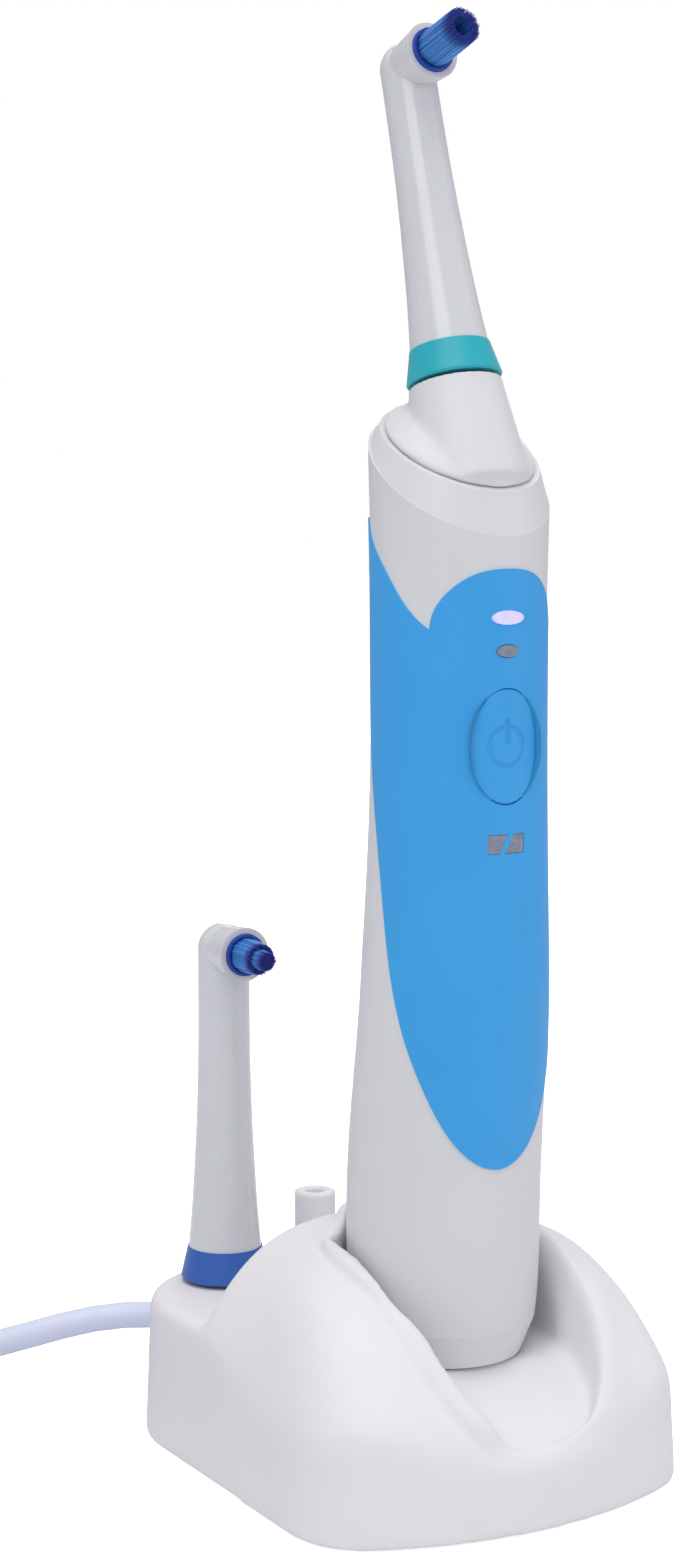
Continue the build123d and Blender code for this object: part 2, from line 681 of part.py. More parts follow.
with BuildPart() as gear_plate:
    add(rod(6.3, -26, -24.4, MOTOR))
    add(rod(3.2, -26, -24.4, NECK))
    add(rod(0.81, -27, -24, MOTOR), mode=Mode.SUBTRACT)
    add(rod(SPINDLE_R + 0.06, -25.6, -24, NECK), mode=Mode.SUBTRACT)
save(gear_plate, "gear_plate")


def gear_wheel(teeth, place, start, end, bore, phase):
    """Spur gear with slim straight-sided teeth that leave backlash."""
    pitch = MODULE * teeth / 2
    root = pitch - 1.2 * MODULE
    tip = pitch + 0.9 * MODULE
    half_root = 0.62 * MODULE
    half_tip = 0.24 * MODULE
    with BuildPart() as wheel:
        with BuildSketch(place.offset(start)):
            Circle(root)
            for k in range(teeth):
                with Locations(Rotation(0, 0, phase + k * 360 / teeth)):
                    Polygon((root - 0.2, -half_root), (tip, -half_tip), (tip, half_tip), (root - 0.2, half_root),
                            align=None)
            Circle(bore, mode=Mode.SUBTRACT)
        extrude(amount=end - start)
    return wheel.part


with BuildPart() as motor_shaft:
    add(rod(0.75, -41, -19.6, MOTOR))
save(motor_shaft, "motor_shaft")

with BuildPart() as motor_pinion:
    add(gear_wheel(PINION_TEETH, MOTOR, -23, -20.2, 0.75, -90))
save(motor_pinion, "motor_pinion")

with BuildPart() as drive_spindle:
    add(rod(SPINDLE_R, -25.5, 25, NECK))
    with BuildSketch(NECK.offset(17)):
        with Locations((1.8, 0)):
            Rectangle(2, 4)
    extrude(amount=9, mode=Mode.SUBTRACT)
save(drive_spindle, "drive_spindle")

with BuildPart() as spindle_gear:
    add(gear_wheel(GEAR_TEETH, NECK, -23, -20.2, SPINDLE_R, 90 + 180 / GEAR_TEETH))
save(spindle_gear, "spindle_gear")


# ---------------------------------------------------------------- brush heads, built upright at the origin
def tuft_plane(top):
    """Plane on the stem's axis at height top, with Z out along the tuft."""
    return Plane(origin=(0, 0, top), x_dir=(1, 0, 0), z_dir=(0, -1, 0))


GEAR_ARM = 2.4


def right_angle_gear(place, centre):
    """Small right-angle gear: a disc with slim teeth, its middle plane at centre."""
    with BuildPart() as gear:
        with BuildSketch(place.offset(centre - 0.35)):
            Circle(1.9)
            for k in range(8):
                with Locations(Rotation(0, 0, k * 45)):
                    Polygon((1.7, -0.22), (2.7, -0.16), (2.7, 0.16), (1.7, 0.22), align=None)
        extrude(amount=0.7)
    return gear.part


def head_stem(top):
    dome = 5.1 * math.cos(math.radians(45))
    with BuildPart() as stem:
        with BuildSketch(Plane.XZ):
            with BuildLine():
                Polyline((0, 0.3), (5.7, 0.3), (5.7, RING_H), (7.25, RING_H))
                Spline((7.25, RING_H), *STEM_PROFILE)
                Line((5.1, 54.0), (5.1, top))
                ThreePointArc((5.1, top), (dome, top + dome), (0, top + 5.1))
                Line((0, top + 5.1), (0, 0.3))
            make_face()
        revolve(axis=Axis.Z)
        with BuildSketch(tuft_plane(top)):
            Circle(4.6)
        with BuildSketch(tuft_plane(top).offset(COLLAR_END)):
            Circle(COLLAR_R)
        loft(ruled=True)
        add(rod(HEAD_BORE_R, -1, 17.5, Plane.XY), mode=Mode.SUBTRACT)
        add(rod(2.3, 16, top - 3.7, Plane.XY), mode=Mode.SUBTRACT)
        add(rod(3.3, top - 4.2, top + 2.9, Plane.XY), mode=Mode.SUBTRACT)
        add(rod(3.1, 0, 4.0, tuft_plane(top)), mode=Mode.SUBTRACT)
        add(rod(1.55, 3, 12, tuft_plane(top)), mode=Mode.SUBTRACT)
        add(rod(4.15, 6.9, 12, tuft_plane(top)), mode=Mode.SUBTRACT)
    return stem.part


def head_ring():
    with BuildPart() as ring:
        with BuildSketch(Plane.XZ):
            with BuildLine():
                Polyline((5.75, 0.3), (8.5, 0.3), (8.75, 0.7), (7.4, RING_H), (5.75, RING_H), close=True)
            make_face()
        revolve(axis=Axis.Z)
    return ring.part


def head_shaft(top):
    with BuildPart() as shaft:
        add(rod(2.0, 18, 27, Plane.XY))
        add(rod(1.4, 27, top - GEAR_ARM, Plane.XY))
        with BuildSketch(Plane.XY.offset(17)):
            Circle(SPINDLE_R + 0.06)
            with Locations((1.86, 0)):
                Rectangle(2, 4, mode=Mode.SUBTRACT)
        extrude(amount=8.6, mode=Mode.SUBTRACT)
        add(right_angle_gear(Plane.XY, top - GEAR_ARM))
    return shaft.part


def head_holder(top):
    with BuildPart() as holder:
        half = Plane(origin=tuft_plane(top).origin, x_dir=(math.cos(math.radians(22.5)), 0, math.sin(math.radians(22.5))),
                     z_dir=(0, -1, 0))
        add(right_angle_gear(half, GEAR_ARM))
        add(rod(1.5, GEAR_ARM, 7.2, tuft_plane(top)))
        add(rod(4.08, 7.1, 9.6, tuft_plane(top)))
        add(rod(3.55, 8.4, 10, tuft_plane(top)), mode=Mode.SUBTRACT)
    return holder.part


def cup_bristles(top):
    with BuildPart() as tuft:
        add(rod(3.5, 8.4, 20.0, tuft_plane(top)))
        add(rod(1.9, 14.5, 21, tuft_plane(top)), mode=Mode.SUBTRACT)
    return tuft.part


def pointed_bristles(top):
    with BuildPart() as tuft:
        for start, radius in ((8.4, 3.5), (15.6, 3.1), (16.0, 2.35), (18.4, 1.9)):
            with BuildSketch(tuft_plane(top).offset(start)):
                Circle(radius)
        loft(ruled=True)
    return tuft.part


FITTED = NECK.location
SPARE = leaning(SPARE_POINT, 0).location
ring_form = head_ring()
for kind, where, top, make_tuft in (("fitted", FITTED, TUFT_S, cup_bristles),
                                    ("spare", SPARE, SPARE_TUFT_S, pointed_bristles)):
    pieces = (("stem", head_stem(top)), ("ring", ring_form), ("shaft", head_shaft(top)),
              ("tuft_holder", head_holder(top)), ("bristles", make_tuft(top)))
    for what, form in pieces:
        with BuildPart() as piece:
            with Locations(where):
                add(form)
        save(piece, kind + "_" + what)
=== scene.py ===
import json
import math
import random

import bmesh
import bpy
import numpy as np
from mathutils import Matrix, Vector
from mathutils.bvhtree import BVHTree


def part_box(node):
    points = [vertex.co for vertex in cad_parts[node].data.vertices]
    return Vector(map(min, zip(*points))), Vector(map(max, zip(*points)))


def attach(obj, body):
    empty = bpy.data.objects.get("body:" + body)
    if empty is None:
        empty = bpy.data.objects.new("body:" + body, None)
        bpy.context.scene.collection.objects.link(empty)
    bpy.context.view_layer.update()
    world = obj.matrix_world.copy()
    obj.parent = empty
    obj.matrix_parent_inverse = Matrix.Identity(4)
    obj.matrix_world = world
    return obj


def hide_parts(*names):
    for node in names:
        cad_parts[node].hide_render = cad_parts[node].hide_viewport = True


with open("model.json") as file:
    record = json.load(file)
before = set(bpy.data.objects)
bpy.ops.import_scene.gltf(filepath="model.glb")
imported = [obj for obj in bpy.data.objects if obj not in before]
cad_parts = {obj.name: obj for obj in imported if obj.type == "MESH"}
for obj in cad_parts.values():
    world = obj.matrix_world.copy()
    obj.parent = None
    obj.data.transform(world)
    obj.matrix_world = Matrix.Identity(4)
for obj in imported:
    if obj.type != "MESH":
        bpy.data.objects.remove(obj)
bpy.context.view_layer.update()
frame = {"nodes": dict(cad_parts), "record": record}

# Sizes are in mm and angles in degrees unless a name says otherwise.
MM = 0.001
NODES = frame["nodes"]
SLOT_OF = {part["node"]: part["material_slot"] for part in frame["record"]["subparts"]}

HANDLE_Y = -15.0                  # Y of the handle's axis at its foot
WELL_R = 19.0
SCOOP_Y = HANDLE_Y - 18.5         # the scoop is a cone standing on its floor
SCOOP_R = 13.0
SCOOP_FLOOR_Z = 13.2
SCOOP_FLARE = 12.0
STAND_FRONT_Y = -49.4
PEGS_FROM_Z = 29.5                # above this and behind PEGS_FROM_Y there are only pegs
PEGS_FROM_Y = HANDLE_Y + 40.0
REST_END = (14.0, HANDLE_Y + 15.0)
NECK_POINT = (0, HANDLE_Y - 3.0, 204.5)
NECK_TILT = 16.2
SPARE_POINT = (-19.5, HANDLE_Y + 50.5, 28.95)
FITTED_TUFT_S = 59.7              # height of each tuft's axis up its stem
SPARE_TUFT_S = 66.3


def ease(t):
    """Smooth step from 0 to 1, for a number or an array."""
    t = np.clip(t, 0, 1)
    return t * t * (3 - 2 * t)


# ---------------------------------------------------------------- camera and lights
CAMERA_PLACE = (-0.2772, -0.4565, 0.189)    # metres
CAMERA_TURN = 30.0
CAMERA_PITCH = 6.2
CAMERA_LENS = 65.8
LIT_POINT = (0, 0, 0.13)                    # metres


def make_camera():
    data = bpy.data.cameras.new("camera")
    obj = bpy.data.objects.new("camera", data)
    bpy.context.scene.collection.objects.link(obj)
    obj.location = CAMERA_PLACE
    turn, pitch = math.radians(CAMERA_TURN), math.radians(CAMERA_PITCH)
    aim = Vector((math.sin(turn) * math.cos(pitch), math.cos(turn) * math.cos(pitch), -math.sin(pitch)))
    obj.rotation_euler = aim.to_track_quat("-Z", "Y").to_euler()
    data.lens = CAMERA_LENS
    data.sensor_width = 36
    data.clip_start = 0.01
    bpy.context.scene.camera = obj


def area_light(name, place, size, power):
    """A square lamp that the camera doesn't see. place and size are in metres, power in watts."""
    data = bpy.data.lights.new(name, "AREA")
    data.energy = power
    data.size = size
    obj = bpy.data.objects.new(name, data)
    obj.visible_camera = False
    bpy.context.scene.collection.objects.link(obj)
    obj.location = place
    obj.rotation_euler = (Vector(LIT_POINT) - Vector(place)).to_track_quat("-Z", "Y").to_euler()


def make_world():
    """A dim cool surround for the lighting, and white for the camera."""
    world = bpy.data.worlds.new("studio")
    bpy.context.scene.world = world
    world.use_nodes = True
    tree = world.node_tree
    light = tree.nodes["Background"]
    light.inputs["Color"].default_value = (0.93, 0.94, 1.0, 1)
    light.inputs["Strength"].default_value = 0.46
    white = tree.nodes.new("ShaderNodeBackground")
    white.inputs["Color"].default_value = (1, 1, 1, 1)
    white.inputs["Strength"].default_value = 1.0
    path = tree.nodes.new("ShaderNodeLightPath")
    mix = tree.nodes.new("ShaderNodeMixShader")
    tree.links.new(path.outputs["Is Camera Ray"], mix.inputs[0])
    tree.links.new(light.outputs[0], mix.inputs[1])
    tree.links.new(white.outputs[0], mix.inputs[2])
    tree.links.new(mix.outputs[0], tree.nodes["World Output"].inputs[0])


make_camera()
make_world()
area_light("key", (-0.95, -0.75, 1.0), size=0.9, power=5.0)
area_light("fill", (0.9, -0.9, 0.55), size=0.8, power=2.6)
area_light("top", (-0.1, -0.1, 1.4), size=1.0, power=9.5)
area_light("rear", (0.7, 0.9, 0.6), size=0.7, power=1.6)
bpy.context.scene.view_settings.view_transform = "Standard"


# ---------------------------------------------------------------- materials
def linear(rgb):
    """Linear colour of an sRGB colour in 0 to 255."""
    return tuple(((c / 255 + 0.055) / 1.055) ** 2.4 if c > 10 else c / 3294 for c in rgb)


def surface(name, rgb, rough, grain, bump, mottle=0.03, patch=18.0, **sockets):
    """A moulded or finished surface.

    grain is the size of its texture and bump its depth, patch the size of its colour
    variation and mottle the strength of it. sockets are further inputs of the shader.
    """
    mat = bpy.data.materials.new(name)
    mat.use_nodes = True
    tree = mat.node_tree
    bsdf = tree.nodes["Principled BSDF"]
    base = linear(rgb)
    place = tree.nodes.new("ShaderNodeTexCoord").outputs["Object"]

    def noise(size, detail):
        n = tree.nodes.new("ShaderNodeTexNoise")
        n.inputs["Scale"].default_value = 1 / (size * MM)
        n.inputs["Detail"].default_value = detail
        tree.links.new(place, n.inputs["Vector"])
        return n.outputs["Fac"]

    ramp = tree.nodes.new("ShaderNodeValToRGB")
    dark, light = ramp.color_ramp.elements
    dark.position, light.position = 0.3, 0.7
    dark.color = (*(c * (1 - mottle) for c in base), 1)
    light.color = (*(min(1, c * (1 + mottle)) for c in base), 1)
    tree.links.new(noise(patch, 4.0), ramp.inputs["Fac"])
    tree.links.new(ramp.outputs["Color"], bsdf.inputs["Base Color"])
    spread = tree.nodes.new("ShaderNodeMapRange")
    spread.inputs["To Min"].default_value = max(0.02, rough - 0.05)
    spread.inputs["To Max"].default_value = min(1.0, rough + 0.05)
    tree.links.new(noise(patch * 0.35, 5.0), spread.inputs["Value"])
    tree.links.new(spread.outputs["Result"], bsdf.inputs["Roughness"])
    relief = tree.nodes.new("ShaderNodeBump")
    relief.inputs["Strength"].default_value = 1.0
    relief.inputs["Distance"].default_value = bump * MM
    tree.links.new(noise(grain, 3.0), relief.inputs["Height"])
    tree.links.new(relief.outputs["Normal"], bsdf.inputs["Normal"])
    for key, value in sockets.items():
        bsdf.inputs[key.replace("_", " ")].default_value = value
    return mat


def tuft_material():
    """Nylon filaments: light blue, dark where the tip attribute is 1."""
    mat = surface("bristle_blue", (70, 140, 214), 0.38, grain=0.15, bump=0.004, mottle=0.12, patch=0.5)
    tree = mat.node_tree
    bsdf = tree.nodes["Principled BSDF"]
    light = bsdf.inputs["Base Color"].links[0].from_socket
    tip = tree.nodes.new("ShaderNodeAttribute")
    tip.attribute_name = "tip"
    mix = tree.nodes.new("ShaderNodeMix")
    mix.data_type = "RGBA"
    colours = {socket.name: socket for socket in mix.inputs if socket.type == "RGBA"}
    colours["B"].default_value = (*linear((24, 38, 150)), 1)
    tree.links.new(light, colours["A"])
    tree.links.new(tip.outputs["Fac"], mix.inputs["Factor"])
    blended = next(socket for socket in mix.outputs if socket.type == "RGBA")
    tree.links.new(blended, bsdf.inputs["Base Color"])
    return mat


def floor_material():
    """White paper, lifted to clean white for the camera and giving off no light of its own."""
    mat = surface("floor_paper", (238, 238, 241), 0.85, grain=1.5, bump=0.02, mottle=0.004, patch=200,
                  Emission_Color=(1, 1, 1, 1))
    tree = mat.node_tree
    path = tree.nodes.new("ShaderNodeLightPath")
    lift = tree.nodes.new("ShaderNodeMath")
    lift.operation = "MULTIPLY"
    lift.inputs[1].default_value = 0.8
    tree.links.new(path.outputs["Is Camera Ray"], lift.inputs[0])
    tree.links.new(lift.outputs["Value"], tree.nodes["Principled BSDF"].inputs["Emission Strength"])
    return mat


FINISHES = {
    "white_shell": dict(rgb=(233, 230, 232), rough=0.62, grain=0.35, bump=0.03, mottle=0.012),
    "white_body": dict(rgb=(218, 219, 221), rough=0.42, grain=0.3, bump=0.012, mottle=0.012),
    "head_white": dict(rgb=(212, 213, 216), rough=0.2, grain=2.5, bump=0.01, mottle=0.012, patch=9,
                       Coat_Weight=0.5, Coat_Roughness=0.06, Subsurface_Weight=0.25, Subsurface_Scale=0.003),
    "grip_blue": dict(rgb=(52, 162, 230), rough=0.52, grain=0.25, bump=0.016),
    "ring_teal": dict(rgb=(30, 172, 186), rough=0.4, grain=0.3, bump=0.01),
    "ring_blue": dict(rgb=(45, 95, 178), rough=0.4, grain=0.3, bump=0.01),
    "holder_blue": dict(rgb=(30, 62, 165), rough=0.3, grain=0.3, bump=0.01, mottle=0.04),
    # The cord is white; the blue-lavender tint in its colour is painted cool shade.
    "cord_white": dict(rgb=(212, 216, 234), rough=0.45, grain=0.5, bump=0.02, mottle=0.02, patch=30),
    "seal_rubber": dict(rgb=(42, 42, 44), rough=0.7, grain=0.3, bump=0.02),
    "foot_rubber": dict(rgb=(168, 168, 170), rough=0.8, grain=0.3, bump=0.03),
    "steel": dict(rgb=(205, 206, 210), rough=0.28, grain=0.15, bump=0.004, Metallic=1.0),
    "brass": dict(rgb=(214, 178, 104), rough=0.32, grain=0.2, bump=0.006, Metallic=1.0),
    "copper": dict(rgb=(190, 112, 70), rough=0.3, grain=0.25, bump=0.05, Metallic=1.0),
    "ferrite": dict(rgb=(58, 58, 60), rough=0.6, grain=0.25, bump=0.03),
    "board": dict(rgb=(34, 98, 62), rough=0.4, grain=0.8, bump=0.02, mottle=0.1, patch=5),
    "dark_plastic": dict(rgb=(44, 44, 46), rough=0.45, grain=0.25, bump=0.01),
    "cell": dict(rgb=(64, 148, 96), rough=0.35, grain=1.2, bump=0.01, mottle=0.05),
    "gear_plastic": dict(rgb=(232, 228, 214), rough=0.45, grain=0.25, bump=0.01),
    "window_lit": dict(rgb=(190, 185, 245), rough=0.2, grain=1.0, bump=0.01, patch=1.5, mottle=0.12,
                       Emission_Color=(0.62, 0.56, 1.0, 1), Emission_Strength=0.45),
    "window_grey": dict(rgb=(132, 140, 156), rough=0.18, grain=0.8, bump=0.02, patch=1.5, mottle=0.2),
}
MATERIALS = {name: surface(name, **finish) for name, finish in FINISHES.items()}
MATERIALS["bristle_blue"] = tuft_material()


# ---------------------------------------------------------------- putting pieces in the scene
def mesh_of(bm, name):
    """A mesh made of bm, which is freed."""
    mesh = bpy.data.meshes.new(name)
    bm.to_mesh(mesh)
    bm.free()
    return mesh


def finished(mesh, name, material, body, node=None):
    """Puts a mesh in the scene on a body and the CAD node it replaces."""
    obj = bpy.data.objects.new(name, mesh)
    bpy.context.scene.collection.objects.link(obj)
    mesh.materials.clear()
    mesh.materials.append(MATERIALS[material])
    for face in mesh.polygons:
        face.use_smooth = True
    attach(obj, body)
    if node:
        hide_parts(node)
    return obj


def make_floor():
    bm = bmesh.new()
    bmesh.ops.create_grid(bm, x_segments=2, y_segments=2, size=4.0)
    mesh = mesh_of(bm, "floor")
    mesh.materials.append(floor_material())
    floor = bpy.data.objects.new("floor", mesh)
    bpy.context.scene.collection.objects.link(floor)


make_floor()

# ---------------------------------------------------------------- cord
CORD_D = 5.6
CORD_EXIT = (0.0, 29.5, 9.0)
LEAD = [CORD_EXIT, (0.0, 91.0, 9.0), (-62.0, 89.0, 2.9), (-86.0, 94.3, 3.0)]
TAIL = [(-138.0, 46.0, 8.2), (-136.2, 36.0, 3.6), (-132.0, 24.0, 3.0), (-129.0, 8.0, 7.0)]

COIL_CENTRE = (-102.0, 59.0)
COIL_LOW = 3.2
COIL_HIGH = COIL_LOW + CORD_D
COIL_INNER, COIL_MIDDLE, COIL_OUTER = 25.4, 31.0, 36.6
COIL_TURNED = (90, 1980)          # where the winding starts and ends
COIL_STEPS_IN = (390, 750)        # where it steps to the next turn inwards, below
COIL_CLIMB = 1070                 # where it climbs to the upper layer
COIL_STEPS_OUT = (1370, 1730)     # where it steps to the next turn outwards, above
COIL_CROSSING = 60                # how far it turns during a step
POINTS_PER_TURN = 24

TIE_AT = 285                      # the tie's direction from the coil's middle
TIE_HALF_WIDTH = 4.0
TIE_THICK = 0.5
TIE_CORNER_R = 2.6
TIE_CLEARANCE = 0.15
TIE_BEVEL = (0.12, 0.3)           # depth and width of its long edges' bevel
TIE_CORNER_STEPS = 8


def coil_point(turned):
    """Point of the winding after so many degrees: in from the outside below, then out again above."""
    step = COIL_OUTER - COIL_MIDDLE
    radius = COIL_OUTER
    for start in COIL_STEPS_IN:
        radius -= step * ease((turned - start) / COIL_CROSSING)
    for start in COIL_STEPS_OUT:
        radius += step * ease((turned - start) / COIL_CROSSING)
    height = COIL_LOW + (COIL_HIGH - COIL_LOW) * ease((turned - COIL_CLIMB) / COIL_CROSSING)
    a = math.radians(turned)
    return (COIL_CENTRE[0] + radius * math.cos(a), COIL_CENTRE[1] + radius * math.sin(a), height)


def make_cord():
    step = 360 / POINTS_PER_TURN
    first, last = COIL_TURNED
    turns = [coil_point(first + step * i) for i in range(int((last - first) / step) + 1)]
    points = LEAD + turns + TAIL
    curve = bpy.data.curves.new("mains_lead", "CURVE")
    curve.dimensions = "3D"
    spline = curve.splines.new("NURBS")
    spline.points.add(len(points) - 1)
    for place, point in zip(points, spline.points):
        point.co = (*(c * MM for c in place), 1)
    spline.order_u = 3
    spline.use_endpoint_u = True
    spline.resolution_u = 8
    curve.bevel_depth = CORD_D / 2 * MM
    curve.bevel_resolution = 5
    curve.use_fill_caps = True
    curve.materials.append(MATERIALS["cord_white"])
    obj = bpy.data.objects.new("mains_lead", curve)
    bpy.context.scene.collection.objects.link(obj)
    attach(obj, "stand")
    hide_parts("mains_cord", "cord_coil", "cord_tail")
    return obj


def tie_section():
    """The rounded rectangle round the coil's section, as (distance from the coil's middle, height)."""
    half = CORD_D / 2
    low, high = 0.35, COIL_HIGH + half + TIE_CLEARANCE
    left, right = COIL_INNER - half - TIE_CLEARANCE, COIL_OUTER + half + TIE_CLEARANCE
    r = TIE_CORNER_R
    corners = ((right - r, high - r), (left + r, high - r), (left + r, low + r), (right - r, low + r))
    loop = []
    for quarter, (x, z) in enumerate(corners):
        for i in range(TIE_CORNER_STEPS + 1):
            b = math.radians(90 * (quarter + i / TIE_CORNER_STEPS))
            loop.append((x + r * math.cos(b), z + r * math.sin(b)))
    return loop


def bridge(bm, a_ring, b_ring):
    """Faces between two closed rings of as many points."""
    n = len(a_ring)
    for i in range(n):
        bm.faces.new((a_ring[i], a_ring[(i + 1) % n], b_ring[(i + 1) % n], b_ring[i]))


def make_tie():
    """A strip fastened round the coil's section, with bevelled edges."""
    a = math.radians(TIE_AT)
    out = Vector((math.cos(a), math.sin(a), 0))
    along = Vector((-math.sin(a), math.cos(a), 0))
    centre = Vector((*COIL_CENTRE, 0))
    loop = tie_section()
    bevel_depth, bevel_width = TIE_BEVEL
    flat = TIE_HALF_WIDTH - bevel_width
    bm = bmesh.new()

    def tie_ring(w, grow):
        ring = []
        for i, (x, z) in enumerate(loop):
            before, after = loop[i - 1], loop[(i + 1) % len(loop)]
            normal = Vector((after[1] - before[1], before[0] - after[0])).normalized()
            place = centre + out * (x + normal.x * grow) + along * w
            place.z = max(z + normal.y * grow, 0.02)
            ring.append(bm.verts.new(place * MM))
        return ring

    across = ((-TIE_HALF_WIDTH, bevel_depth), (-flat, 0.0), (flat, 0.0), (TIE_HALF_WIDTH, bevel_depth))
    inner = [tie_ring(w, inset) for w, inset in across]
    outer = [tie_ring(w, TIE_THICK - inset) for w, inset in across]
    for i in range(len(across) - 1):
        bridge(bm, outer[i], outer[i + 1])
        bridge(bm, inner[i + 1], inner[i])
    bridge(bm, inner[0], outer[0])
    bridge(bm, outer[-1], inner[-1])
    bmesh.ops.recalc_face_normals(bm, faces=bm.faces)
    return finished(mesh_of(bm, "cord_tie"), "cord_tie", "dark_plastic", "stand")


lead = make_cord()
tie = make_tie()

# ---------------------------------------------------------------- bristles
FILAMENT_R = 0.13
FILAMENT_SIDES = 6
FILAMENT_STEPS = 4
FILAMENT_TIP = 0.55               # its thickness at the tip, as a share
TUFT_R = 3.36
TUFT_ROOT = 8.5                   # where the filaments start, out from the stem's axis
TUFT_SPACING = 0.29
TUFT_JITTER = 0.04
TUFT_LEAN = 0.06
TUFT_UNEVEN = 0.35
DARK_FROM, DARK_OVER = 1.3, 1.0   # the tips darken this far from the end, over this length


def leaning(point, tilt):
    """Where a head stands: its Z is the stem, and its -Y is the tuft."""
    return Matrix.Translation(Vector(point) * MM) @ Matrix.Rotation(-math.radians(tilt), 4, "X")


def make_tuft(name, where, top, body, node, reach, narrowing, seed):
    """A bundle of filaments on a head.

    reach(r) is how far out from the stem's axis a filament ends, and narrowing(t, r)
    how far the bundle closes there. top is the height of the tuft's axis up the stem.
    """
    draw = random.Random(seed)
    bm = bmesh.new()
    tip_layer = bm.verts.layers.float.new("tip")
    rows = int(TUFT_R / TUFT_SPACING) + 2
    for i in range(-rows, rows + 1):
        for j in range(-rows, rows + 1):
            x = (i + 0.5 * (j % 2)) * TUFT_SPACING + draw.uniform(-TUFT_JITTER, TUFT_JITTER)
            y = j * TUFT_SPACING * 0.866 + draw.uniform(-TUFT_JITTER, TUFT_JITTER)
            r = math.hypot(x, y)
            if r > TUFT_R:
                continue
            end = reach(r) - draw.uniform(0.0, TUFT_UNEVEN)
            lean_x, lean_y = draw.uniform(-TUFT_LEAN, TUFT_LEAN), draw.uniform(-TUFT_LEAN, TUFT_LEAN)
            rings = []
            for k in range(FILAMENT_STEPS + 1):
                along = k / FILAMENT_STEPS
                t = TUFT_ROOT + (end - TUFT_ROOT) * along
                share = narrowing(t, r)
                thin = FILAMENT_R * (FILAMENT_TIP if k == FILAMENT_STEPS else 1.0)
                ring = []
                for side in range(FILAMENT_SIDES):
                    a = 2 * math.pi * side / FILAMENT_SIDES
                    px = x * share + lean_x * along + thin * math.cos(a)
                    py = y * share + lean_y * along + thin * math.sin(a)
                    vert = bm.verts.new(where @ (Vector((px, -t, top + py)) * MM))
                    vert[tip_layer] = max(0.0, min(1.0, (t - end + DARK_FROM) / DARK_OVER))
                    ring.append(vert)
                rings.append(ring)
            for a_ring, b_ring in zip(rings, rings[1:]):
                bridge(bm, a_ring, b_ring)
            bm.faces.new(rings[-1])
            bm.faces.new(list(reversed(rings[0])))
    bmesh.ops.recalc_face_normals(bm, faces=bm.faces)
    return finished(mesh_of(bm, name), name, "bristle_blue", body, node)


def cup_reach(r):
    """A tall rim round a hollow middle."""
    return 20.0 if r > 1.9 else 14.6 + 0.4 * r


def cup_narrowing(t, r):
    return 1.0


def point_reach(r):
    """A tall middle inside a shorter ring."""
    return 15.6 if r > 2.45 else 18.4


def point_narrowing(t, r):
    if r > 2.45:
        return 1.0 - 0.11 * ease((t - 8.5) / 7)
    return 1.0 - 0.25 * ease((t - 9) / 9)


make_tuft("fitted_tuft_filaments", leaning(NECK_POINT, NECK_TILT), FITTED_TUFT_S, "fitted_tuft",
          "fitted_bristles", cup_reach, cup_narrowing, seed=3)
make_tuft("spare_tuft_filaments", leaning(SPARE_POINT, 0), SPARE_TUFT_S, "spare_tuft",
          "spare_bristles", point_reach, point_narrowing, seed=5)

# ---------------------------------------------------------------- mouldings with soft edges
STAND_VOXEL = 0.6
NOSE_VOXEL = 0.35
RIM_RISE, RIM_WIDTH = 1.1, 4.1
GROOVE_DEPTH, GROOVE_AT = 0.45, 4.6
SCOOP_OUT, SCOOP_IN = 3.4, 2.2    # how far the scoop's right side goes out and its left side in
SCOOP_SHIFT = np.array([0.866, -0.5, 0])


def remeshed(node, name, voxel):
    """The CAD node's mesh, made even."""
    bm = bmesh.new()
    bm.from_mesh(NODES[node].data)
    bmesh.ops.remove_doubles(bm, verts=bm.verts, dist=1e-6)
    source = bpy.data.objects.new(name + "_rough", mesh_of(bm, name + "_rough"))
    bpy.context.scene.collection.objects.link(source)
    remesh = source.modifiers.new("remesh", "REMESH")
    remesh.mode = "VOXEL"
    remesh.voxel_size = voxel * MM
    bpy.context.view_layer.update()
    mesh = bpy.data.meshes.new_from_object(source.evaluated_get(bpy.context.evaluated_depsgraph_get()))
    bpy.data.objects.remove(source)
    mesh.name = name
    return mesh


def softened(node, name, material, body, voxel, passes, rise=None, last=(), warp=None):
    """A copy of a CAD node with edges as soft as moulded ones.

    passes and last are lists of (rounds, weight of points): the rounds of smoothing
    before and after the surface rises by rise(points, upward share of the normals).
    warp then moves the points.
    """
    mesh = remeshed(node, name, voxel)
    count = len(mesh.vertices)
    place = np.empty(count * 3)
    mesh.vertices.foreach_get("co", place)
    place = place.reshape(-1, 3) / MM
    ends = np.empty(len(mesh.edges) * 2, int)
    mesh.edges.foreach_get("vertices", ends)
    first, second = ends[0::2], ends[1::2]
    degree = np.maximum(np.bincount(ends, minlength=count), 1)

    def relax(place, passes):
        for rounds, weight in passes:
            share = 0.5 * weight(place)[:, None]
            for _ in range(rounds):
                total = np.stack([np.bincount(first, place[second, k], count)
                                  + np.bincount(second, place[first, k], count) for k in range(3)], axis=1)
                place = place + share * (total / degree[:, None] - place)
        return place

    def apply(place):
        mesh.vertices.foreach_set("co", (place * MM).ravel())
        mesh.update()

    place = relax(place, passes)
    apply(place)
    if rise:
        normal = np.empty(count * 3)
        mesh.vertices.foreach_get("normal", normal)
        normal = normal.reshape(-1, 3)
        place = relax(place + normal * rise(place, normal[:, 2])[:, None], last)
    if warp:
        place = warp(place)
    apply(place)
    return finished(mesh, name, material, body, node)


